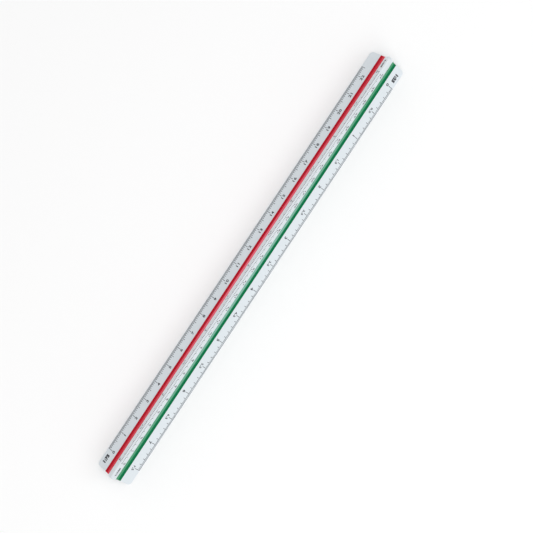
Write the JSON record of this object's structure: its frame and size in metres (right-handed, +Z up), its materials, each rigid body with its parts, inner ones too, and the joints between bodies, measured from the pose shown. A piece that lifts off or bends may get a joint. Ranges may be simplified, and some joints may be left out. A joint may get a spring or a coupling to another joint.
{
  "type": "triangular scale ruler",
  "caption": "Triangular scale ruler: a white plastic bar with three fins and colour-coded concave flutes, with a reduction scale printed along each edge.",
  "frame": {"origin": "middle of the ruler's footprint, on the surface it rests on", "axes": "+X along the ruler, +Y towards the side with the red flute, +Z up to the top fin"},
  "size_m": [0.325, 0.0254, 0.022],
  "materials": {
    "white_plastic": "satin",
    "red_plastic": "gloss",
    "green_plastic": "gloss",
    "black_ink": "matte"
  },
  "bodies": {
    "root": {"white_bar": "white_plastic", "red_flute_strip": "red_plastic", "green_flute_strip": "green_plastic"}
  },
  "joints": []
}
